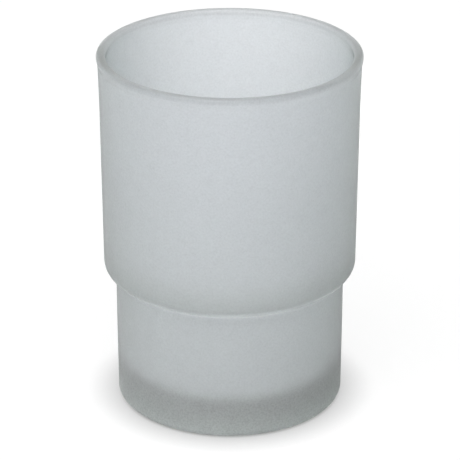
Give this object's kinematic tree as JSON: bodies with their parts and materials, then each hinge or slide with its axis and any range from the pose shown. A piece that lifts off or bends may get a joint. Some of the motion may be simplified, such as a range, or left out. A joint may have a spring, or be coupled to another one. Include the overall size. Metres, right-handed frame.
{
  "type": "bathroom tumbler",
  "caption": "Stepped drinking tumbler of satin-frosted glass with a thick base, a beaded lip and a shoulder that rests in a holder's ring.",
  "frame": {"origin": "on the cup's axis, in the plane of the bearing ring that it stands on", "axes": "+Z along the cup's axis, out of its mouth; X and Y are free, since the cup is a body of revolution"},
  "size_m": [0.0678, 0.0678, 0.095],
  "materials": {
    "frosted_glass": "satin-etched, evenly frosted inside and out"
  },
  "bodies": {
    "root": {"tumbler": "frosted_glass"}
  },
  "joints": []
}
